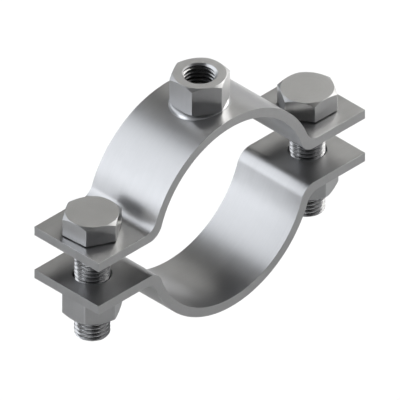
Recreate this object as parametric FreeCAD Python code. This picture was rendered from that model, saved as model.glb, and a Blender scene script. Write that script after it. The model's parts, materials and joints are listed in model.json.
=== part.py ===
import FreeCAD, Part
import math
import os

os.makedirs("parts", exist_ok=True)

# Heavy-duty pipe clamp: two bent steel half bands, drawn together by two hexagon bolts with nuts,
# and a hexagonal connection nut welded to the crown of the upper half.
# Lengths are in millimetres and angles in degrees. X runs along the ears, Y along the pipe, Z up.
# The origin is on the pipe's axis, in the middle of the band's width, halfway between the ears.

# The two half bands, bent from flat strip
SEAT_DIAMETER = 92.0            # inside of the closed clamp, round the pipe
STRIP_WIDTH = 40.0
STRIP_THICKNESS = 4.6           # strip of 4.5 with its zinc coat
EAR_BEND_RADIUS = 3.4           # inside of the bend between an ear and the round band
EAR_GAP = 18.5                  # open height between the upper and the lower ears
BOLT_SPACING = 134.0
EAR_MARGIN = 16.0               # from a bolt's axis to the end of its ear

# The M16 thread that the bolts, the nuts and the connection nut share
THREAD_DIAMETER = 16.0
THREAD_PITCH = 2.0
THREAD_DEPTH_PITCHES = 1.0825   # a metric thread's major less its minor diameter, in pitches
HOLE_CLEARANCE = 0.75           # all round a bolt in the hole of an ear
RUNNING_CLEARANCE = 0.05        # all round a bolt in the bore of its nut

# The hexagons, which are all of one size
HEXAGON_SIDES = 6
HEXAGON_WIDTH = 24.0            # across flats
HEXAGON_RIM_INSET = 0.15        # from a flat in to the round rim of a chamfered end
HEXAGON_CHAMFER = 30.0          # slope of the turned-off corners

# Bolts
BOLT_LENGTH = 55.0              # under the head
HEAD_HEIGHT = 10.0
WASHER_FACE_INSET = 0.75        # from a flat in to the round bearing face under the head
WASHER_FACE_HEIGHT = 0.6
BOLT_END_CHAMFER = 1.0
LEFT_HEAD_TURN = 33.9           # a corner's angle from +X, as each was tightened
RIGHT_HEAD_TURN = 59.1

# Nuts
NUT_HEIGHT = 14.8
NUT_MOUTH_WIDENING = 0.5        # how far the countersink opens past the thread
LEFT_NUT_TURN = 31.6
RIGHT_NUT_TURN = 22.0

# Connection nut
CONNECTION_NUT_HEIGHT = 14.5
CONNECTION_NUT_TURN = 30.0      # one corner points along the pipe

# The weld bead round the foot of the connection nut
WELD_ROOT = 0.15                # its inner side, out from the nut's rim
WELD_FOOT = 2.3                 # its foot on the band, out from the nut's rim
WELD_SHOULDER_INSET = 0.4       # from the foot in to the bead's fullest point
WELD_SHOULDER_DROP = 0.25       # from the crown down to the bead's fullest point
WELD_RISE = 0.4                 # its upper edge above the crown
WELD_TOE_DEPTH = 1.0            # how far the bead is drawn into the band before it is trimmed

# Worked out from the sizes above
seat_radius = SEAT_DIAMETER / 2
crown_radius = seat_radius + STRIP_THICKNESS
pipe_side_bend_radius = EAR_BEND_RADIUS + STRIP_THICKNESS
bend_centre_z = EAR_GAP / 2 + pipe_side_bend_radius
bend_centre_distance = seat_radius + pipe_side_bend_radius
bend_centre_x = math.sqrt(bend_centre_distance ** 2 - bend_centre_z ** 2)
bend_angle = math.atan2(bend_centre_z, bend_centre_x)
bolt_x = BOLT_SPACING / 2
ear_end_x = bolt_x + EAR_MARGIN
ear_face_z = EAR_GAP / 2 + STRIP_THICKNESS
thread_radius = THREAD_DIAMETER / 2
thread_root_radius = thread_radius - THREAD_DEPTH_PITCHES * THREAD_PITCH / 2
hole_radius = thread_radius + HOLE_CLEARANCE
nut_bore_radius = thread_radius + RUNNING_CLEARANCE
nut_mouth_radius = nut_bore_radius + NUT_MOUTH_WIDENING
hexagon_corner_radius = HEXAGON_WIDTH / 2 / math.cos(math.pi / HEXAGON_SIDES)
hexagon_rim_radius = HEXAGON_WIDTH / 2 - HEXAGON_RIM_INSET
washer_face_radius = HEXAGON_WIDTH / 2 - WASHER_FACE_INSET

Z_AXIS = FreeCAD.Vector(0, 0, 1)
Y_AXIS = FreeCAD.Vector(0, 1, 0)
ORIGIN = FreeCAD.Vector(0, 0, 0)
FULL_TURN = 360
HALF_TURN = 180


def strip_side(depth):
    """The curves of one side of the bent strip, from the right ear's end to the left ear's.

    The depth is measured into the strip from the side that faces the pipe.
    """
    level = EAR_GAP / 2 + depth
    bend = pipe_side_bend_radius - depth
    downwards = -math.pi / 2
    towards_pipe = bend_angle - math.pi
    middle = (downwards + towards_pipe) / 2
    band = seat_radius + depth

    def point(side, x, z):
        return FreeCAD.Vector(side * x, -STRIP_WIDTH / 2, z)

    def ear(side):
        tip = point(side, ear_end_x, level)
        bend_start = point(side, bend_centre_x, level)
        bend_middle_x = bend_centre_x + bend * math.cos(middle)
        bend_middle = point(side, bend_middle_x, bend_centre_z + bend * math.sin(middle))
        bend_end = point(side, band * math.cos(bend_angle), band * math.sin(bend_angle))
        return tip, bend_start, bend_middle, bend_end

    right_tip, right_start, right_middle, right_end = ear(1)
    left_tip, left_start, left_middle, left_end = ear(-1)
    curves = [
        Part.LineSegment(right_tip, right_start),
        Part.Arc(right_start, right_middle, right_end),
        Part.Arc(right_end, point(1, 0, band), left_end),
        Part.Arc(left_end, left_middle, left_start),
        Part.LineSegment(left_start, left_tip),
    ]
    return curves, right_tip, left_tip


def half_band():
    """The upper half band: its outline across the pipe, pushed along the pipe and drilled."""
    pipe_side, pipe_right, pipe_left = strip_side(0)
    outer_side, outer_right, outer_left = strip_side(STRIP_THICKNESS)
    ear_ends = [Part.LineSegment(pipe_left, outer_left), Part.LineSegment(outer_right, pipe_right)]
    edges = [curve.toShape() for curve in pipe_side + outer_side + ear_ends]
    outline = Part.Wire(Part.sortEdges(edges)[0])
    band = Part.Face(outline).extrude(FreeCAD.Vector(0, STRIP_WIDTH, 0))
    for side in (-1, 1):
        band = band.cut(Part.makeCylinder(hole_radius, ear_face_z, FreeCAD.Vector(side * bolt_x, 0, 0)))
    return band


def turned(outline):
    """The solid made by turning an outline of (radius, height) points about the Z axis."""
    points = [FreeCAD.Vector(radius, 0, height) for radius, height in outline]
    face = Part.Face(Part.makePolygon(points + points[:1]))
    return face.revolve(ORIGIN, Z_AXIS, FULL_TURN)


def hexagon(height, foot_chamfered):
    """A hexagonal block on Z = 0 with the corners of its top turned off, and of its foot if asked."""
    corners = []
    for index in range(HEXAGON_SIDES):
        angle = 2 * math.pi * index / HEXAGON_SIDES
        corner = FreeCAD.Vector(math.cos(angle), math.sin(angle), 0)
        corners.append(corner * hexagon_corner_radius)
    face = Part.Face(Part.makePolygon(corners + corners[:1]))
    block = face.extrude(FreeCAD.Vector(0, 0, height))
    reach = hexagon_corner_radius + HEXAGON_RIM_INSET
    drop = (reach - hexagon_rim_radius) * math.tan(math.radians(HEXAGON_CHAMFER))
    foot = [(hexagon_rim_radius, 0), (reach, drop)] if foot_chamfered else [(reach, 0)]
    top = [(reach, height - drop), (hexagon_rim_radius, height)]
    return block.common(turned([(0, 0)] + foot + top + [(0, height)]))


def hexagon_nut(height, bore_radius, mouth_radius):
    """A hexagon nut on Z = 0 with a plain bore that is countersunk at both ends."""
    countersink = mouth_radius - bore_radius
    bore = turned([
        (0, 0),
        (mouth_radius, 0),
        (bore_radius, countersink),
        (bore_radius, height - countersink),
        (mouth_radius, height),
        (0, height),
    ])
    return hexagon(height, True).cut(bore)


def hexagon_bolt():
    """A hexagon-head bolt that hangs from Z = 0, the level of the face it is tightened on."""
    head = hexagon(HEAD_HEIGHT - WASHER_FACE_HEIGHT, False)
    head.translate(FreeCAD.Vector(0, 0, WASHER_FACE_HEIGHT))
    washer_face = Part.makeCylinder(washer_face_radius, WASHER_FACE_HEIGHT)
    shank = turned([
        (0, -BOLT_LENGTH),
        (thread_radius - BOLT_END_CHAMFER, -BOLT_LENGTH),
        (thread_radius, BOLT_END_CHAMFER - BOLT_LENGTH),
        (thread_radius, 0),
        (0, 0),
    ])
    return head.fuse([washer_face, shank]).removeSplitter()


def set_at(shape, x, z, turn):
    """The shape turned about its own axis and moved to its place across the pipe."""
    placed = shape.copy()
    placed.rotate(ORIGIN, Z_AXIS, turn)
    placed.translate(FreeCAD.Vector(x, 0, z))
    return placed


def weld_bead(nut):
    """The bead between the foot of the connection nut and the round of the band."""
    root = hexagon_rim_radius + WELD_ROOT
    foot = hexagon_rim_radius + WELD_FOOT
    toe_z = math.sqrt(crown_radius ** 2 - foot ** 2)
    ring = turned([
        (root, toe_z - WELD_TOE_DEPTH),
        (foot, toe_z - WELD_TOE_DEPTH),
        (foot, toe_z),
        (foot - WELD_SHOULDER_INSET, crown_radius - WELD_SHOULDER_DROP),
        (root, crown_radius + WELD_RISE),
    ])
    under_band = Part.makeCylinder(crown_radius, STRIP_WIDTH, FreeCAD.Vector(0, -STRIP_WIDTH / 2, 0), Y_AXIS)
    return ring.cut([under_band, nut])


upper_half = half_band()
lower_half = upper_half.copy()
lower_half.rotate(ORIGIN, Y_AXIS, HALF_TURN)

connection_nut_blank = hexagon_nut(CONNECTION_NUT_HEIGHT, thread_root_radius, thread_radius)
connection_nut = set_at(connection_nut_blank, 0, crown_radius, CONNECTION_NUT_TURN)

bolt = hexagon_bolt()
nut = hexagon_nut(NUT_HEIGHT, nut_bore_radius, nut_mouth_radius)
nut_z = -ear_face_z - NUT_HEIGHT

pieces = {
    "upper_half": upper_half,
    "lower_half": lower_half,
    "connection_nut": connection_nut,
    "connection_weld": weld_bead(connection_nut),
    "left_bolt": set_at(bolt, -bolt_x, ear_face_z, LEFT_HEAD_TURN),
    "right_bolt": set_at(bolt, bolt_x, ear_face_z, RIGHT_HEAD_TURN),
    "left_nut": set_at(nut, -bolt_x, nut_z, LEFT_NUT_TURN),
    "right_nut": set_at(nut, bolt_x, nut_z, RIGHT_NUT_TURN),
}

for name, shape in pieces.items():
    shape.exportStep("parts/" + name + ".step")
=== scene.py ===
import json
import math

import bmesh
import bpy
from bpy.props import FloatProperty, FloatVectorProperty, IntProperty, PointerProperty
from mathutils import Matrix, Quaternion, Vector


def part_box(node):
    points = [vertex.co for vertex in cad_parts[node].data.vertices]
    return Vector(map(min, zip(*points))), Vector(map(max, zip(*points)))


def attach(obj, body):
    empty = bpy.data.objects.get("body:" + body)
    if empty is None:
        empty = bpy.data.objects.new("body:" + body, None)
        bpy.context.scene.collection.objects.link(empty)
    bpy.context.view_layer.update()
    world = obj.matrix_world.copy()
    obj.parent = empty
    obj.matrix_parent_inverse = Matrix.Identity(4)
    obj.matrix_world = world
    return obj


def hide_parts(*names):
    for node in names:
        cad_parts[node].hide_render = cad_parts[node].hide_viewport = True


bl_info = {
    "name": "Heavy-duty pipe clamp",
    "version": (1, 0, 0),
    "blender": (4, 5, 0),
    "location": "View3D > Sidebar > Pipe clamp",
    "description": "The looks of a two-part steel pipe clamp, built round its packed model",
    "category": "Object",
}

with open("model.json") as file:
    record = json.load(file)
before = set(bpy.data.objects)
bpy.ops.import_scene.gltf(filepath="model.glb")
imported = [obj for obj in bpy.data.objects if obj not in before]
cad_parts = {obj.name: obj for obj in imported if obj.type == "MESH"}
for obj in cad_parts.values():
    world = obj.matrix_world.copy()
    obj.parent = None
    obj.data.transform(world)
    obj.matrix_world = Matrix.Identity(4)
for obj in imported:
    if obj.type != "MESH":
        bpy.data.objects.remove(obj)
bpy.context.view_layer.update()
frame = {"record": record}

MM = 0.001

mounts = {mount["name"]: mount for mount in frame["record"]["mounts"]}
upper_low, upper_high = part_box("upper_half")
bolt_low, bolt_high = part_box("right_bolt")
nut_low, nut_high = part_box("right_nut")
boss_low, boss_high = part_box("connection_nut")
weld_low, weld_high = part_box("connection_weld")

HALF_GAP = upper_low.z                                      # from the level of the axis to an ear
CROWN_RADIUS = upper_high.z
SEAT_RADIUS = mounts["pipe_seat"]["dims"]["r_mm"] * MM
STRIP_THICKNESS = CROWN_RADIUS - SEAT_RADIUS
STRIP_WIDTH = upper_high.y - upper_low.y
EAR_END = upper_high.x
EAR_FACE = HALF_GAP + STRIP_THICKNESS                       # the side of an ear away from the gap
BOLT_X = (bolt_low.x + bolt_high.x) / 2
MINOR_RADIUS = mounts["connection_thread"]["dims"]["r_mm"] * MM

HEXAGON_SIDES = 6
FLANK_ANGLE = math.radians(30)                              # of a metric thread
CREST_FLAT = 1 / 8                                          # the flat on its crest, in pitches
SPARE_TURNS = 3                                             # of a thread, taken off by its two cuts

# For the finishes
BOLT_CREST = 8 * MM                                         # the two radii of a bolt's thread
BOLT_ROOT = 6.77 * MM
CORNER_RADIUS = 13.86 * MM                                  # of the hexagons

# For the modelling
NEAR = 1e-6                                                 # two places this close are one
ON_THE_CUT = 1e-7                                           # what is this close to a cut lies on it
SLIVER = 3e-6                                               # what cutting leaves is no wider
OVERLAP = 1 * MM                                            # of a tool past what it cuts or joins
SHARP = math.radians(28)                                    # edges sharper than this stay sharp
SHARP_IF_ROUNDED = math.radians(50)                         # the same, once edges are rounded
ROUNDING_STEPS = 3                                          # of a rounded edge
DRILL_SIDES = 96
DRILL_DEPTH = 4 * STRIP_THICKNESS                           # well past both faces of an ear
CROWN_SIDES = 512                                           # of the round that the bead lies on
BEAD_STEPS = 12                                             # of the weld bead's rounded section


class ClampBandSettings(bpy.types.PropertyGroup):
    """Sizes of the two bent half bands."""

    bend_radius: FloatProperty(
        name="Ear bend",
        description="Radius of the hollow between an ear and the round band",
        default=7.5 * MM,
        unit="LENGTH",
    )
    pipe_bend_radius: FloatProperty(
        name="Ear bend at the pipe",
        description="Radius of the same bend on the side that faces the pipe",
        default=8 * MM,
        unit="LENGTH",
    )
    hole_radius: FloatProperty(
        name="Bolt hole",
        description="Radius of the holes in the ears",
        default=8.75 * MM,
        unit="LENGTH",
    )
    edge_round: FloatProperty(
        name="Edge",
        description="Rounding of the strip's edges under its zinc",
        default=0.06 * MM,
        unit="LENGTH",
    )
    band_steps: IntProperty(
        name="Band steps",
        description="Steps of the round stretch of a half band",
        default=128,
        min=16,
    )
    bend_steps: IntProperty(
        name="Bend steps",
        description="Steps of the bend at an ear",
        default=18,
        min=4,
    )


class ClampFastenerSettings(bpy.types.PropertyGroup):
    """Sizes of the hexagons and of the thread that the fasteners share."""

    hexagon_width: FloatProperty(
        name="Across flats",
        description="Width of every hexagon",
        default=24 * MM,
        unit="LENGTH",
    )
    rim_inset: FloatProperty(
        name="Rim inset",
        description="From a flat in to the round rim of a chamfered end",
        default=0.15 * MM,
        unit="LENGTH",
    )
    chamfer_slope: FloatProperty(
        name="Chamfer",
        description="Slope of the turned-off corners",
        default=math.radians(30),
        subtype="ANGLE",
    )
    corner_round: FloatProperty(
        name="Corners",
        description="Rounding of the hexagon's upright edges",
        default=0.2 * MM,
        unit="LENGTH",
    )
    washer_inset: FloatProperty(
        name="Washer face inset",
        description="From a flat in to the round bearing face under a head",
        default=0.75 * MM,
        unit="LENGTH",
    )
    washer_height: FloatProperty(
        name="Washer face height",
        description="Height of the round bearing face under a head",
        default=0.6 * MM,
        unit="LENGTH",
    )
    thread_diameter: FloatProperty(
        name="Thread",
        description="Diameter over the crests of a bolt's thread",
        default=16 * MM,
        unit="LENGTH",
    )
    thread_pitch: FloatProperty(
        name="Pitch",
        description="From one crest to the next",
        default=2 * MM,
        unit="LENGTH",
    )
    thread_depth: FloatProperty(
        name="Thread depth",
        description="Depth of a bolt's thread, as a share of its pitch",
        default=0.6134,
    )
    bore_clearance: FloatProperty(
        name="Bore clearance",
        description="Between a bolt's crests and the bore of its nut",
        default=0.05 * MM,
        unit="LENGTH",
    )
    mouth_widening: FloatProperty(
        name="Nut mouth",
        description="How far the countersink of a nut opens past its bore",
        default=0.5 * MM,
        unit="LENGTH",
    )
    end_chamfer: FloatProperty(
        name="Bolt end",
        description="Chamfer at the end of a bolt",
        default=1 * MM,
        unit="LENGTH",
    )
    round_steps: IntProperty(
        name="Round steps",
        description="Steps round a turned form or one turn of a thread",
        default=96,
        min=24,
    )
    left_head_turn: FloatProperty(
        name="Left head",
        description="Angle of a corner of the left head, as it was tightened",
        default=math.radians(33.9),
        subtype="ANGLE",
    )
    right_head_turn: FloatProperty(
        name="Right head",
        description="Angle of a corner of the right head",
        default=math.radians(59.1),
        subtype="ANGLE",
    )
    left_nut_turn: FloatProperty(
        name="Left nut",
        description="Angle of a corner of the left nut",
        default=math.radians(31.6),
        subtype="ANGLE",
    )
    right_nut_turn: FloatProperty(
        name="Right nut",
        description="Angle of a corner of the right nut",
        default=math.radians(22.0),
        subtype="ANGLE",
    )
    boss_turn: FloatProperty(
        name="Connection nut",
        description="Angle of a corner of the connection nut",
        default=math.radians(30.0),
        subtype="ANGLE",
    )


class ClampFinishSettings(bpy.types.PropertyGroup):
    """Colours and gloss of the steel finishes."""

    band_colour: FloatVectorProperty(
        name="Band",
        description="Zinc on the bent strip",
        default=(0.403, 0.404, 0.408),
        subtype="COLOR",
    )
    bolt_colour: FloatVectorProperty(
        name="Bolts",
        description="Zinc on the bolts",
        default=(0.405, 0.406, 0.409),
        subtype="COLOR",
    )
    nut_colour: FloatVectorProperty(
        name="Nuts",
        description="Zinc on the nuts and the connection nut",
        default=(0.42, 0.421, 0.426),
        subtype="COLOR",
    )
    weld_colour: FloatVectorProperty(
        name="Weld",
        description="Zinc on the weld bead",
        default=(0.33, 0.333, 0.338),
        subtype="COLOR",
    )
    gloss: FloatProperty(
        name="Roughness",
        description="Roughness of the satin zinc",
        default=0.33,
        min=0,
        max=1,
    )


class ClampStudioSettings(bpy.types.PropertyGroup):
    """The floor, the light and the camera."""

    floor_level: FloatProperty(
        name="Floor",
        description="Height of the floor: the clamp hangs above it by its connection nut",
        default=-1.1,
        unit="LENGTH",
    )
    frame_width: FloatProperty(
        name="Frame width",
        description="Width of what the camera sees",
        default=176.17 * MM,
        unit="LENGTH",
    )
    aim_right: FloatProperty(
        name="Aim right",
        description="From the clamp's origin to the middle of the picture, to the right",
        default=0.1255 * MM,
        unit="LENGTH",
    )
    aim_up: FloatProperty(
        name="Aim up",
        description="From the clamp's origin to the middle of the picture, upwards",
        default=-2.673 * MM,
        unit="LENGTH",
    )
    world_colour: FloatVectorProperty(
        name="Surroundings",
        description="The grey room round the clamp",
        default=(0.445, 0.45, 0.47),
        subtype="COLOR",
    )
    floor_colour: FloatVectorProperty(
        name="Floor",
        description="Pale studio floor",
        default=(0.97, 0.97, 0.97),
        subtype="COLOR",
    )


# Modelling

def add_primitive(operator, name, **settings):
    """A new primitive, alone in the selection, with its place and size in its mesh."""
    bpy.ops.object.select_all(action="DESELECT")
    operator(**settings)
    piece = bpy.context.object
    piece.name = name
    piece.data.name = name
    bpy.ops.object.transform_apply(location=True, rotation=True, scale=True)
    return piece


def select_only(piece):
    """Makes the piece the one that operators act on."""
    bpy.ops.object.select_all(action="DESELECT")
    piece.select_set(True)
    bpy.context.view_layer.objects.active = piece


def apply_modifier(piece, kind, **settings):
    """Gives the piece a modifier and applies it at once."""
    select_only(piece)
    modifier = piece.modifiers.new(kind.title(), kind)
    for name, value in settings.items():
        setattr(modifier, name, value)
    bpy.ops.object.modifier_apply(modifier=modifier.name)


def combine(piece, tool, operation):
    """Cuts the piece with the tool, or joins them, and removes the tool."""
    apply_modifier(piece, "BOOLEAN", object=tool, operation=operation, solver="EXACT")
    bpy.data.meshes.remove(tool.data)


def clean(piece):
    """Merges the slivers that cutting leaves, and stops if the piece isn't closed."""
    select_only(piece)
    bpy.ops.object.mode_set(mode="EDIT")
    bpy.ops.mesh.select_mode(type="EDGE")
    bpy.ops.mesh.select_all(action="SELECT")
    bpy.ops.mesh.remove_doubles(threshold=SLIVER)
    bpy.ops.mesh.dissolve_degenerate(threshold=SLIVER)
    bpy.ops.mesh.select_all(action="DESELECT")
    bpy.ops.mesh.select_non_manifold()
    bpy.ops.object.mode_set(mode="OBJECT")
    if any(edge.select for edge in piece.data.edges):
        raise RuntimeError(piece.name + " isn't closed")


def select_upright_edges(piece):
    """In edit mode, selects only the edges that rise more than they run."""
    bpy.ops.mesh.select_mode(type="EDGE")
    bpy.ops.mesh.select_all(action="DESELECT")
    mesh = bmesh.from_edit_mesh(piece.data)
    for edge in mesh.edges:
        run = edge.verts[1].co - edge.verts[0].co
        if abs(run.z) > run.xy.length:
            edge.select_set(True)
    bmesh.update_edit_mesh(piece.data)


def start_chain(name, location):
    """A mesh of one vertex, left selected in edit mode, from which a chain of edges is drawn."""
    chain = add_primitive(bpy.ops.mesh.primitive_plane_add, name, size=MM, location=location)
    bpy.ops.object.mode_set(mode="EDIT")
    bpy.ops.mesh.select_mode(type="VERT")
    bpy.ops.mesh.select_all(action="SELECT")
    bpy.ops.mesh.merge(type="CENTER")
    return chain


def draw_profile(name, points):
    """A chain of edges through points of radius and height, drawn by extruding one vertex."""
    radius, height = points[0]
    profile = start_chain(name, (radius, 0, height))
    for (radius, height), (next_radius, next_height) in zip(points, points[1:]):
        step = (next_radius - radius, 0, next_height - height)
        bpy.ops.mesh.extrude_region_move(TRANSFORM_OT_translate={"value": step})
    bpy.ops.mesh.select_all(action="SELECT")
    bpy.ops.mesh.remove_doubles(threshold=NEAR)
    bpy.ops.object.mode_set(mode="OBJECT")
    return profile


def point_faces_out():
    """Points all faces of the mesh in edit mode outwards, and leaves edit mode."""
    bpy.ops.mesh.select_all(action="SELECT")
    bpy.ops.mesh.normals_make_consistent(inside=False)
    bpy.ops.object.mode_set(mode="OBJECT")


def turn_profile(profile, steps, pitch=0.0, turns=1):
    """Turns a profile about the Z axis, rising by a pitch at each turn."""
    apply_modifier(
        profile,
        "SCREW",
        axis="Z",
        angle=2 * math.pi,
        screw_offset=pitch,
        iterations=turns,
        steps=steps,
        render_steps=steps,
        use_merge_vertices=True,
        merge_threshold=NEAR,
    )
    bpy.ops.object.mode_set(mode="EDIT")
    bpy.ops.mesh.select_all(action="SELECT")
    bpy.ops.mesh.remove_doubles(threshold=NEAR)
    point_faces_out()


def cut_level(piece, height, keep_below):
    """Cuts a turned form off at a height and closes it there."""
    select_only(piece)
    bpy.ops.object.mode_set(mode="EDIT")
    bpy.ops.mesh.select_all(action="SELECT")
    bpy.ops.mesh.bisect(
        plane_co=(0, 0, height),
        plane_no=(0, 0, 1),
        use_fill=True,
        clear_outer=keep_below,
        clear_inner=not keep_below,
        threshold=ON_THE_CUT,
    )
    bpy.ops.object.mode_set(mode="OBJECT")


def finish_edges(piece, width):
    """Rounds the sharp edges a little, and keeps the flats flat in the shading."""
    apply_modifier(
        piece,
        "BEVEL",
        width=width,
        segments=ROUNDING_STEPS,
        limit_method="ANGLE",
        angle_limit=SHARP,
        miter_outer="MITER_ARC",
    )
    shade(piece, SHARP_IF_ROUNDED)
    apply_modifier(piece, "WEIGHTED_NORMAL", keep_sharp=True)


def shade(piece, sharp=SHARP):
    """Smooth shading between faces that meet gently."""
    select_only(piece)
    bpy.ops.object.shade_smooth_by_angle(angle=sharp)


def place(piece, location, turn):
    """Turns a finished piece about its own axis and moves it, in its mesh."""
    select_only(piece)
    piece.location = location
    piece.rotation_euler = (0, 0, turn)
    bpy.ops.object.transform_apply(location=True, rotation=True, scale=True)


def copy_of(piece, name):
    """A copy of a piece with its own mesh."""
    select_only(piece)
    bpy.ops.object.duplicate(linked=False)
    copy = bpy.context.object
    copy.name = name
    copy.data.name = name
    return copy


def join_frame(piece, node, body, finish):
    """The piece takes the place of its node, rides on its body and gets its finish."""
    piece.data.materials.clear()
    piece.data.materials.append(finish)
    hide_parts(node)
    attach(piece, body)


# Half bands

def strip_side(name, settings, level, band_radius, bend_radius):
    """One side of the bent strip: a chain of edges from the right ear's end to the left ear's."""
    bend_z = level + bend_radius
    bend_x = math.sqrt((band_radius + bend_radius) ** 2 - bend_z ** 2)
    bend_start = math.atan2(bend_z, bend_x)
    bend_angle = math.pi / 2 - bend_start
    band_angle = math.pi - 2 * bend_start
    ear = {"value": (bend_x - EAR_END, 0, 0)}
    chain = start_chain(name, (EAR_END, -STRIP_WIDTH / 2, level))
    bpy.ops.mesh.extrude_region_move(TRANSFORM_OT_translate=ear)
    for steps, angle, centre_x, centre_z in (
        (settings.bend_steps, -bend_angle, bend_x, bend_z),
        (settings.band_steps, band_angle, 0, 0),
        (settings.bend_steps, -bend_angle, -bend_x, bend_z),
    ):
        bpy.ops.mesh.spin(steps=steps, angle=angle, center=(centre_x, 0, centre_z), axis=(0, 1, 0))
    bpy.ops.mesh.extrude_region_move(TRANSFORM_OT_translate=ear)
    bpy.ops.object.mode_set(mode="OBJECT")
    return chain


def half_band(settings):
    """The upper half band: its two sides drawn, joined, pushed across the width and drilled."""
    pipe_side = strip_side("pipe_side", settings, HALF_GAP, SEAT_RADIUS, settings.pipe_bend_radius)
    strip = strip_side("upper_half_band", settings, EAR_FACE, CROWN_RADIUS, settings.bend_radius)
    pipe_side.select_set(True)
    bpy.ops.object.join()
    bpy.ops.object.mode_set(mode="EDIT")
    bpy.ops.mesh.select_all(action="SELECT")
    bpy.ops.mesh.bridge_edge_loops()
    bpy.ops.mesh.select_all(action="SELECT")
    across = {"value": (0, STRIP_WIDTH, 0)}
    bpy.ops.mesh.extrude_region_move(TRANSFORM_OT_translate=across)
    point_faces_out()
    for side in (-1, 1):
        drill = add_primitive(
            bpy.ops.mesh.primitive_cylinder_add,
            "drill",
            vertices=DRILL_SIDES,
            radius=settings.hole_radius,
            depth=DRILL_DEPTH,
            location=(side * BOLT_X, 0, HALF_GAP + STRIP_THICKNESS / 2),
        )
        combine(strip, drill, "DIFFERENCE")
    clean(strip)
    finish_edges(strip, settings.edge_round)
    return strip


class CLAMP_OT_half_bands(bpy.types.Operator):
    """Bend the upper half band from flat strip, drill it, and turn a copy over as the lower one"""

    bl_idname = "clamp.half_bands"
    bl_label = "Half bands"

    def execute(self, context):
        upper = half_band(context.scene.clamp_bands)
        lower = copy_of(upper, "lower_half_band")
        lower.rotation_euler = (0, math.pi, 0)
        bpy.ops.object.transform_apply(location=True, rotation=True, scale=True)
        finish = band_steel(context.scene.clamp_finishes)
        join_frame(upper, "upper_half", "upper_body", finish)
        join_frame(lower, "lower_half", "lower_body", finish)
        return {"FINISHED"}


# Threads and hexagons

def thread_profile(crest, root, pitch):
    """One pitch of a metric thread, from the middle of one root to the middle of the next."""
    crest_flat = pitch * CREST_FLAT
    flank = (crest - root) * math.tan(FLANK_ANGLE)
    root_flat = pitch - crest_flat - 2 * flank
    lower_flank = root_flat / 2
    upper_flank = pitch - root_flat / 2
    return [
        (root, 0),
        (root, lower_flank),
        (crest, lower_flank + flank),
        (crest, upper_flank - flank),
        (root, upper_flank),
        (root, pitch),
    ]


def threaded_rod(name, settings, crest, root, low, high):
    """A rod with a thread all along it, closed at both ends."""
    pitch = settings.thread_pitch
    turns = math.ceil((high - low) / pitch) + SPARE_TURNS
    start = low - SPARE_TURNS / 2 * pitch
    points = [(radius, start + height) for radius, height in thread_profile(crest, root, pitch)]
    rod = draw_profile(name, points)
    turn_profile(rod, settings.round_steps, pitch, turns)
    cut_level(rod, low, keep_below=False)
    cut_level(rod, high, keep_below=True)
    bpy.ops.object.mode_set(mode="EDIT")
    point_faces_out()
    return rod


def cone(name, settings, low, low_radius, high, high_radius):
    """A frustum on the Z axis between two levels."""
    return add_primitive(
        bpy.ops.mesh.primitive_cone_add,
        name,
        vertices=2 * settings.round_steps,
        radius1=low_radius,
        radius2=high_radius,
        depth=high - low,
        location=(0, 0, (low + high) / 2),
    )


def hexagon_block(name, settings, low, high, foot_chamfered=True):
    """A hexagonal block with a corner on +X, and the corners of its top and foot turned off."""
    block = add_primitive(
        bpy.ops.mesh.primitive_cylinder_add,
        name,
        vertices=HEXAGON_SIDES,
        radius=settings.hexagon_width / 2 / math.cos(math.pi / HEXAGON_SIDES),
        depth=high - low,
        location=(0, 0, (low + high) / 2),
        rotation=(0, 0, math.pi / HEXAGON_SIDES),
    )
    bpy.ops.object.mode_set(mode="EDIT")
    select_upright_edges(block)
    bpy.ops.mesh.bevel(offset=settings.corner_round, segments=ROUNDING_STEPS, affect="EDGES")
    bpy.ops.object.mode_set(mode="OBJECT")
    rim = settings.hexagon_width / 2 - settings.rim_inset
    spread = rim + (high - low + OVERLAP) / math.tan(settings.chamfer_slope)
    turning = cone("top_turning", settings, low - OVERLAP, spread, high, rim)
    combine(block, turning, "INTERSECT")
    if foot_chamfered:
        turning = cone("foot_turning", settings, low, rim, high + OVERLAP, spread)
        combine(block, turning, "INTERSECT")
    return block


class CLAMP_OT_bolts(bpy.types.Operator):
    """Make the two hexagon bolts, with their thread cut up to the head"""

    bl_idname = "clamp.bolts"
    bl_label = "Bolts"

    def execute(self, context):
        settings = context.scene.clamp_fasteners
        head_height = bolt_high.z - EAR_FACE
        length = EAR_FACE - bolt_low.z
        crest = settings.thread_diameter / 2
        root = crest - settings.thread_depth * settings.thread_pitch
        bolt = hexagon_block(
            "left_hexagon_bolt",
            settings,
            settings.washer_height,
            head_height,
            foot_chamfered=False,
        )
        washer_radius = settings.hexagon_width / 2 - settings.washer_inset
        into_head = settings.washer_height + OVERLAP
        washer_face = cone("washer_face", settings, 0, washer_radius, into_head, washer_radius)
        combine(bolt, washer_face, "UNION")
        shank = threaded_rod("shank", settings, crest, root, -length, into_head)
        end_radius = crest - settings.end_chamfer
        above_shank = 2 * OVERLAP
        wide = end_radius + length + above_shank
        turning = cone("end_turning", settings, -length, end_radius, above_shank, wide)
        combine(shank, turning, "INTERSECT")
        combine(bolt, shank, "UNION")
        clean(bolt)
        shade(bolt)
        other = copy_of(bolt, "right_hexagon_bolt")
        finish = bolt_steel(context.scene.clamp_finishes)
        place(bolt, (-BOLT_X, 0, EAR_FACE), settings.left_head_turn)
        place(other, (BOLT_X, 0, EAR_FACE), settings.right_head_turn)
        join_frame(bolt, "left_bolt", "left_bolt", finish)
        join_frame(other, "right_bolt", "right_bolt", finish)
        return {"FINISHED"}


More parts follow.
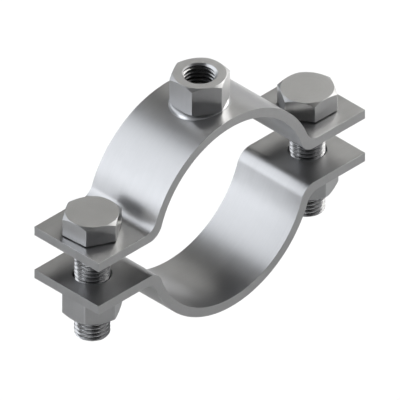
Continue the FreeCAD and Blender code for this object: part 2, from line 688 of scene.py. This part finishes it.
class CLAMP_OT_nuts(bpy.types.Operator):
    """Make the two hexagon nuts under the lower ears"""

    bl_idname = "clamp.nuts"
    bl_label = "Nuts"

    def execute(self, context):
        settings = context.scene.clamp_fasteners
        height = nut_high.z - nut_low.z
        nut = hexagon_block("left_hexagon_nut", settings, 0, height)
        bore = settings.thread_diameter / 2 + settings.bore_clearance
        mouth = bore + settings.mouth_widening
        sink = mouth - bore
        over, wide = height + OVERLAP, mouth + OVERLAP
        combine(nut, cone("bore", settings, -OVERLAP, bore, over, bore), "DIFFERENCE")
        combine(nut, cone("low_mouth", settings, -OVERLAP, wide, sink, bore), "DIFFERENCE")
        combine(nut, cone("high_mouth", settings, height - sink, bore, over, wide), "DIFFERENCE")
        clean(nut)
        shade(nut)
        other = copy_of(nut, "right_hexagon_nut")
        finish = nut_steel(context.scene.clamp_finishes)
        place(nut, (-BOLT_X, 0, nut_low.z), settings.left_nut_turn)
        place(other, (BOLT_X, 0, nut_low.z), settings.right_nut_turn)
        join_frame(nut, "left_nut", "left_nut", finish)
        join_frame(other, "right_nut", "right_nut", finish)
        return {"FINISHED"}


class CLAMP_OT_connection_nut(bpy.types.Operator):
    """Make the connection nut on the crown, with a real thread cut in its bore"""

    bl_idname = "clamp.connection_nut"
    bl_label = "Connection nut"

    def execute(self, context):
        settings = context.scene.clamp_fasteners
        height = boss_high.z - boss_low.z
        boss = hexagon_block("threaded_connection_nut", settings, 0, height)
        major = settings.thread_diameter / 2
        over = height + OVERLAP
        tap = threaded_rod("tap", settings, major, MINOR_RADIUS, -OVERLAP, over)
        combine(boss, tap, "DIFFERENCE")
        mouth = major + settings.bore_clearance
        wide = mouth + OVERLAP
        point = MINOR_RADIUS - OVERLAP
        deep = mouth - point
        combine(boss, cone("high_mouth", settings, height - deep, point, over, wide), "DIFFERENCE")
        combine(boss, cone("low_mouth", settings, -OVERLAP, wide, deep, point), "DIFFERENCE")
        clean(boss)
        shade(boss)
        place(boss, (0, 0, boss_low.z), settings.boss_turn)
        finish = connection_steel(context.scene.clamp_finishes)
        join_frame(boss, "connection_nut", "upper_body", finish)
        return {"FINISHED"}


class CLAMP_OT_weld(bpy.types.Operator):
    """Lay the weld bead between the connection nut and the round of the band"""

    bl_idname = "clamp.weld"
    bl_label = "Weld"

    def execute(self, context):
        settings = context.scene.clamp_fasteners
        root = settings.hexagon_width / 2
        low = weld_low.z
        reach, rise = weld_high.x - root, weld_high.z - low
        points = [(root, low)]
        for step in range(BEAD_STEPS + 1):
            angle = math.pi / 2 * step / BEAD_STEPS
            points.append((root + reach * math.cos(angle), low + rise * math.sin(angle)))
        points.append((root, low))
        bead = draw_profile("connection_weld_bead", points)
        turn_profile(bead, 2 * settings.round_steps)
        band = add_primitive(
            bpy.ops.mesh.primitive_cylinder_add,
            "band_round",
            vertices=CROWN_SIDES,
            radius=CROWN_RADIUS,
            depth=STRIP_WIDTH,
            rotation=(math.pi / 2, 0, 0),
        )
        combine(bead, band, "DIFFERENCE")
        block = hexagon_block("nut_foot", settings, 0, boss_high.z - boss_low.z)
        place(block, (0, 0, boss_low.z), settings.boss_turn)
        combine(bead, block, "DIFFERENCE")
        clean(bead)
        shade(bead)
        finish = weld_steel(context.scene.clamp_finishes)
        join_frame(bead, "connection_weld", "upper_body", finish)
        return {"FINISHED"}


# Finishes

MEAN_GRAIN = 0.05           # roughness that clouds and marks add on average, so it comes off first
CLOUD_GRAIN = 0.06          # roughness that the clouds add
TURNED_GRAIN = 0.032        # and that turning adds to the ends of a hexagon
RUB_GLOSS = 0.06            # roughness that rubbing takes away
THREAD_GLOSS = 0.08         # and that the thread's rolling or cutting does
MARK_DEPTH = 0.003 * MM     # of the marks in the zinc
RIPPLE_DEPTH = 0.008 * MM   # of the ripples in the weld bead
MIX_INPUTS = (0, 6, 7)      # sockets of a Mix node that blends colours: its factor, A and B
MIX_RESULT = 2              # and its result, which are found by number because they share names


class Value:
    """A socket of a finish, so that shader maths reads as Python."""

    def __init__(self, finish, socket):
        self.finish = finish
        self.socket = socket

    def maths(self, operation, *others):
        """The result of a Math node on this value and the others."""
        node = self.finish.node("ShaderNodeMath", {"operation": operation}, self, *others)
        return Value(self.finish, node.outputs[0])

    def __add__(self, other):
        return self.maths("ADD", other)

    def __radd__(self, other):
        return self + other

    def __sub__(self, other):
        return self.maths("SUBTRACT", other)

    def __rsub__(self, other):
        return self * -1 + other

    def __mul__(self, other):
        return self.maths("MULTIPLY", other)

    def __pow__(self, other):
        return self.maths("POWER", other)

    def __abs__(self):
        return self.maths("ABSOLUTE")


class Finish:
    """A material of one surface shader, and the nodes that vary it."""

    def __init__(self, name):
        self.material = bpy.data.materials.new(name)
        self.material.use_nodes = True
        self.tree = self.material.node_tree
        self.tree.nodes.clear()
        self.shader = self.node("ShaderNodeBsdfPrincipled", {}, Metallic=1.0)
        output = self.node("ShaderNodeOutputMaterial", {})
        self.tree.links.new(self.shader.outputs["BSDF"], output.inputs["Surface"])
        coordinates = self.node("ShaderNodeTexCoord", {})
        self.place = Value(self, coordinates.outputs["Object"])

    def node(self, kind, settings, *inputs, **named):
        """A node with its settings made first, and then its sockets' values or links."""
        node = self.tree.nodes.new(kind)
        for name, value in settings.items():
            setattr(node, name, value)
        for key, value in [*enumerate(inputs), *named.items()]:
            socket = node.inputs[key if isinstance(key, int) else key.replace("_", " ")]
            if isinstance(value, Value):
                self.tree.links.new(value.socket, socket)
            else:
                socket.default_value = value
        return node

    def noise(self, place, scale, detail=2.0, roughness=0.5):
        """Noise from 0 to 1 with features of about 1/scale metres."""
        node = self.node(
            "ShaderNodeTexNoise", {}, Vector=place, Scale=scale, Detail=detail, Roughness=roughness
        )
        return Value(self, node.outputs["Fac"])

    def smooth(self, value, low, high):
        """0 below low, 1 above high and smooth in between."""
        node = self.node(
            "ShaderNodeMapRange",
            {"interpolation_type": "SMOOTHSTEP"},
            Value=value,
            From_Min=low,
            From_Max=high,
        )
        return Value(self, node.outputs["Result"])

    def stretched(self, scale):
        """Object coordinates stretched by three factors."""
        node = self.node("ShaderNodeMapping", {}, Vector=self.place, Scale=scale)
        return Value(self, node.outputs["Vector"])

    def vector(self, x, y, z):
        """A place put together from three numbers or values."""
        node = self.node("ShaderNodeCombineXYZ", {}, x, y, z)
        return Value(self, node.outputs["Vector"])

    def axes(self):
        """The three object coordinates."""
        node = self.node("ShaderNodeSeparateXYZ", {}, self.place)
        return [Value(self, output) for output in node.outputs]

    def blend(self, share, low, high):
        """A colour between two colours."""
        node = self.node("ShaderNodeMix", {"data_type": "RGBA"})
        for socket, value in zip(MIX_INPUTS, (share, low, high)):
            if isinstance(value, Value):
                self.tree.links.new(value.socket, node.inputs[socket])
            else:
                node.inputs[socket].default_value = value
        return Value(self, node.outputs[MIX_RESULT])

    def link(self, socket, value):
        """Feeds a value to the surface shader."""
        self.tree.links.new(value.socket, self.shader.inputs[socket])

    def bump(self, height, distance):
        """Raises the surface by a distance where the height is 1."""
        node = self.node("ShaderNodeBump", {}, Height=height, Distance=distance)
        self.link("Normal", Value(self, node.outputs["Normal"]))


def shade_of(colour, share):
    """A darker or lighter shade of a colour, opaque."""
    return (*(channel * share for channel in colour), 1.0)


def band_steel(finishes):
    """Zinc on rolled strip: the mill's lines along the strip, soft clouds, and rubbed edges."""
    finish = Finish("band_zinc")
    across = abs(finish.axes()[1])
    clouds = finish.noise(finish.place, scale=170, detail=3)
    lines = finish.noise(finish.stretched((28, 1300, 28)), scale=1, detail=3, roughness=0.6)
    specks = finish.noise(finish.place, scale=1400, detail=1)
    edge = STRIP_WIDTH / 2
    lightened = finish.smooth(across, edge - 0.9 * MM, edge - 0.05 * MM)
    sheared = finish.smooth(across, edge - 0.03 * MM, edge - 0.01 * MM)
    marks = lines + (specks - lines) * sheared
    colour = finishes.band_colour
    tone = finish.blend(clouds * 0.5 + marks * 0.5, shade_of(colour, 0.9), shade_of(colour, 1.1))
    rub = lightened * (1 - sheared) * 0.6
    finish.link("Base Color", finish.blend(rub, tone, shade_of(colour, 1.06)))
    gloss = finishes.gloss - MEAN_GRAIN
    finish.link("Roughness", gloss + clouds * CLOUD_GRAIN + marks * 0.05 - rub * RUB_GLOSS)
    finish.bump(marks, MARK_DEPTH)
    return finish.material


class HexagonFinish(Finish):
    """Zinc on hexagon steel: rings turned on its ends, lines down its flats, rubbed corners."""

    def __init__(self, name, axis_x, ends):
        super().__init__(name)
        x, y, self.level = self.axes()
        from_axis = abs(x) - axis_x
        self.radius = (from_axis * from_axis + y * y) ** 0.5
        self.clouds = self.noise(self.place, scale=190, detail=3)
        lines = self.noise(self.stretched((1100, 1100, 45)), scale=1)
        rings = self.noise(self.vector(self.radius * 2400, 0.5, 0.5), scale=1)
        self.turned = 0
        for end in ends:
            self.turned = 1 - self.smooth(abs(self.level - end), 0.9 * MM, 1.3 * MM) + self.turned
        self.marks = lines + (rings - lines) * self.turned
        corner = CORNER_RADIUS - 0.08 * MM
        cornered = self.smooth(self.radius, corner - 0.3 * MM, corner)
        # Wear on the corners. On the bolts, a painted highlight on the thread's crests is added to
        # this share.
        self.rub = cornered * (0.25 + self.clouds * 0.5)

    def complete(self, colour, gloss, dull, thread):
        """The material: darker by painted shade, lighter by wear and by any painted highlight,
        smoother on a thread, rougher on turned ends.
        """
        clouds, marks, rub = self.clouds, self.marks, self.rub
        tone = self.blend(
            clouds * 0.55 + marks * 0.45, shade_of(colour, 0.91), shade_of(colour, 1.09)
        )
        # Lighter where worn, and on a bolt's crests by a painted highlight.
        lightened = self.blend(rub, tone, shade_of(colour, 1.2))
        # Painted shade: where the painted shade share is 1, the colour drops to 0.45 of itself.
        self.link("Base Color", self.blend(dull, lightened, shade_of(colour, 0.45)))
        grain = clouds * CLOUD_GRAIN + marks * 0.04 - rub * RUB_GLOSS
        polish = thread * THREAD_GLOSS - self.turned * TURNED_GRAIN
        self.link("Roughness", grain - polish + gloss - MEAN_GRAIN)
        self.bump(marks, MARK_DEPTH)
        return self.material


def bolt_steel(finishes):
    """Zinc on the bolts, with painted shade in the roots of their threads and a painted highlight
    on the crests.
    """
    finish = HexagonFinish("bolt_zinc", BOLT_X, [bolt_high.z, bolt_low.z])
    radius = finish.radius
    below_head = 1 - finish.smooth(finish.level, EAR_FACE - 0.4 * MM, EAR_FACE)
    thread = finish.smooth(radius, BOLT_ROOT - 0.4 * MM, BOLT_ROOT - 0.1 * MM) * below_head
    # Painted shade in the roots of the thread: darker colour for the shade down between the crests.
    dull = (1 - finish.smooth(radius, BOLT_ROOT + 0.05 * MM, BOLT_ROOT + 0.55 * MM)) * thread
    # Painted highlight on the thread's crests: lighter colour for the light they catch, added to
    # the corners' wear.
    painted_crest_highlight = finish.smooth(radius, BOLT_CREST - 0.55 * MM, BOLT_CREST - 0.1 * MM) * thread
    finish.rub = painted_crest_highlight + finish.rub
    return finish.complete(finishes.bolt_colour, finishes.gloss, dull, thread)


def nut_steel(finishes):
    """Zinc on the two nuts, with painted shade in their bores."""
    finish = HexagonFinish("nut_zinc", BOLT_X, [nut_low.z, nut_high.z])
    bore = 1 - finish.smooth(finish.radius, BOLT_CREST + 0.1 * MM, BOLT_CREST + 0.3 * MM)
    # Painted shade in the bore: its colour is darkened for the shade inside the hole.
    return finish.complete(finishes.nut_colour, finishes.gloss, bore * 0.8, 0)


def connection_steel(finishes):
    """Zinc on the connection nut, with painted shade that deepens towards the roots of its thread.
    """
    finish = HexagonFinish("connection_nut_zinc", 0, [boss_low.z, boss_high.z])
    radius = finish.radius
    bore = 1 - finish.smooth(radius, BOLT_CREST + 0.05 * MM, BOLT_CREST + 0.1 * MM)
    below_mouth = 1 - finish.smooth(finish.level, boss_high.z - 1.4 * MM, boss_high.z - 1.1 * MM)
    depth = finish.smooth(radius, MINOR_RADIUS + 0.35 * MM, BOLT_CREST - 0.1 * MM)
    # Painted shade in the bore, deepening towards the roots of the thread.
    dull = depth * 0.45 * bore * below_mouth
    return finish.complete(finishes.nut_colour, finishes.gloss, dull, bore)


def weld_steel(finishes):
    """Zinc over the weld bead, with the ripples that the torch left round it."""
    finish = Finish("weld_zinc")
    x, y, _ = finish.axes()
    round_nut = y.maths("ARCTAN2", x)
    clouds = finish.noise(finish.place, scale=260, detail=3)
    spread = (x * x + y * y) ** 0.5 * 1300
    ripples = (round_nut * 58 + spread + clouds * 22).maths("SINE") * 0.5 + 0.5
    grain = finish.noise(finish.place, scale=1800)
    colour = finishes.weld_colour
    tone = clouds * 0.6 + ripples * 0.2 + grain * 0.2
    finish.link("Base Color", finish.blend(tone, shade_of(colour, 0.86), shade_of(colour, 1.14)))
    finish.link("Roughness", finishes.gloss - MEAN_GRAIN + clouds * CLOUD_GRAIN + grain * 0.04)
    finish.bump(ripples * 0.7 + grain * 0.3, RIPPLE_DEPTH)
    return finish.material


# Studio

FLOOR_SIZE = 60
CAMERA_DISTANCE = 1
CAMERA_CLIP = (0.01, 20)
LOOK = Vector((1, 1, -1))               # the camera looks down the diagonal between the three axes

COOL = (0.93, 0.96, 1.0)
WARM = (1.0, 0.985, 0.94)

# Name, azimuth and elevation in degrees, distance, width, height, radiance and colour
SOFTBOXES = [
    ("left_softbox", 127, 34.4, 3, 5.1, 2.5, 1.57, COOL),
    ("far_left_softbox", 166, 3, 3, 1.5, 2.1, 4.5, COOL),
    ("right_softbox", 30, 53, 3, 2.7, 2.28, 6.0, WARM),
    ("right_fill_softbox", -5, 28, 3.2, 5.4, 4.5, 0.93, WARM),
    ("near_right_softbox", -76, 4, 3, 2.2, 0.96, 2.7, WARM),
]

# Name, azimuth and elevation in degrees, distance, width, height, grey and lean in degrees
FLAGS = [
    ("camera_side_flag", -116, -4, 1.5, 1.65, 1.86, 0.05, -11),
    ("back_flag", 58, 36, 2.4, 1.7, 2.5, 0.02, 30),
    ("top_flag", -121, 80, 2.6, 3.4, 3.33, 0.02, 13),
    ("low_right_flag", -58, -42, 1.4, 1.3, 0.6, 0.3, 5),
    ("low_left_flag", 144, -44, 1.15, 1.25, 0.8, 0.42, 0),
    ("low_back_flag", 82, -54, 1.2, 0.9, 0.6, 0.42, 0),
    ("far_right_flag", 9, -36, 1.4, 0.8, 0.5, 0.45, 0),
]


def direction(azimuth, elevation):
    """The unit vector towards an azimuth, counted from +X to +Y, and an elevation, in degrees."""
    turn, rise = math.radians(azimuth), math.radians(elevation)
    run = math.cos(rise)
    return Vector((math.cos(turn) * run, math.sin(turn) * run, math.sin(rise)))


def softbox(name, azimuth, elevation, distance, width, height, radiance, colour):
    """An area lamp of a given radiance that faces the clamp."""
    towards = direction(azimuth, elevation)
    bpy.ops.object.light_add(type="AREA", location=towards * distance)
    lamp = bpy.context.object
    lamp.name = name
    lamp.data.shape = "RECTANGLE"
    lamp.data.size = width
    lamp.data.size_y = height
    lamp.data.energy = radiance * math.pi * width * height
    lamp.data.color = colour
    lamp.rotation_euler = (-towards).to_track_quat("-Z", "Y").to_euler()
    lamp.visible_camera = False


def flag(name, azimuth, elevation, distance, width, height, grey, lean):
    """A grey card that the metal reflects, out of the camera's sight."""
    towards = direction(azimuth, elevation)
    card = add_primitive(bpy.ops.mesh.primitive_plane_add, name, size=1)
    card.scale = (width, height, 1)
    card.location = towards * distance
    leant = Quaternion((0, 0, 1), math.radians(-lean))
    card.rotation_euler = (towards.to_track_quat("Z", "Y") @ leant).to_euler()
    card.data.materials.append(plain_matt(name, (grey, grey, grey)))
    card.visible_camera = False


def plain_matt(name, colour):
    """A matt material of one colour, without gloss."""
    material = bpy.data.materials.new(name)
    material.use_nodes = True
    shader = material.node_tree.nodes["Principled BSDF"]
    shader.inputs["Base Color"].default_value = (*colour, 1.0)
    shader.inputs["Roughness"].default_value = 0.9
    shader.inputs["Specular IOR Level"].default_value = 0.0
    return material


class CLAMP_OT_studio(bpy.types.Operator):
    """Set the pale floor, the soft light and the camera"""

    bl_idname = "clamp.studio"
    bl_label = "Studio"

    def execute(self, context):
        settings = context.scene.clamp_studio
        floor = add_primitive(
            bpy.ops.mesh.primitive_plane_add,
            "studio_floor",
            size=FLOOR_SIZE,
            location=(0, 0, settings.floor_level),
        )
        floor.data.materials.append(plain_matt("floor", settings.floor_colour))
        world = bpy.data.worlds.new("grey_room")
        world.use_nodes = True
        background = world.node_tree.nodes["Background"]
        background.inputs["Color"].default_value = (*settings.world_colour, 1)
        context.scene.world = world
        for lamp in SOFTBOXES:
            softbox(*lamp)
        for card in FLAGS:
            flag(*card)
        look = LOOK.normalized()
        right = look.cross(Vector((0, 0, 1))).normalized()
        up = right.cross(look)
        aim = right * settings.aim_right + up * settings.aim_up
        bpy.ops.object.camera_add(location=aim - look * CAMERA_DISTANCE)
        camera = bpy.context.object
        camera.rotation_euler = look.to_track_quat("-Z", "Y").to_euler()
        camera.data.type = "ORTHO"
        camera.data.ortho_scale = settings.frame_width
        camera.data.clip_start, camera.data.clip_end = CAMERA_CLIP
        context.scene.camera = camera
        context.scene.view_settings.view_transform = "Standard"
        return {"FINISHED"}


class CLAMP_PT_sidebar(bpy.types.Panel):
    """Lists the steps that build the clamp"""

    bl_label = "Pipe clamp"
    bl_idname = "CLAMP_PT_sidebar"
    bl_space_type = "VIEW_3D"
    bl_region_type = "UI"
    bl_category = "Pipe clamp"

    def draw(self, context):
        for operator in OPERATORS:
            self.layout.operator(operator.bl_idname)
        for name in SETTINGS:
            group = getattr(context.scene, name)
            box = self.layout.box()
            for setting in group.__annotations__:
                box.prop(group, setting)


OPERATORS = [
    CLAMP_OT_half_bands,
    CLAMP_OT_bolts,
    CLAMP_OT_nuts,
    CLAMP_OT_connection_nut,
    CLAMP_OT_weld,
    CLAMP_OT_studio,
]
SETTINGS = {
    "clamp_bands": ClampBandSettings,
    "clamp_fasteners": ClampFastenerSettings,
    "clamp_finishes": ClampFinishSettings,
    "clamp_studio": ClampStudioSettings,
}


def register():
    """Makes the settings, the operators and the panel known."""
    for name, group in SETTINGS.items():
        bpy.utils.register_class(group)
        setattr(bpy.types.Scene, name, PointerProperty(type=group))
    for operator in OPERATORS:
        bpy.utils.register_class(operator)
    bpy.utils.register_class(CLAMP_PT_sidebar)


def unregister():
    """Takes them away again."""
    bpy.utils.unregister_class(CLAMP_PT_sidebar)
    for operator in reversed(OPERATORS):
        bpy.utils.unregister_class(operator)
    for name, group in reversed(list(SETTINGS.items())):
        delattr(bpy.types.Scene, name)
        bpy.utils.unregister_class(group)


def main():
    """Builds the clamp and its studio."""
    register()
    bpy.ops.clamp.half_bands()
    bpy.ops.clamp.bolts()
    bpy.ops.clamp.nuts()
    bpy.ops.clamp.connection_nut()
    bpy.ops.clamp.weld()
    bpy.ops.clamp.studio()


if __name__ == "__main__":
    main()
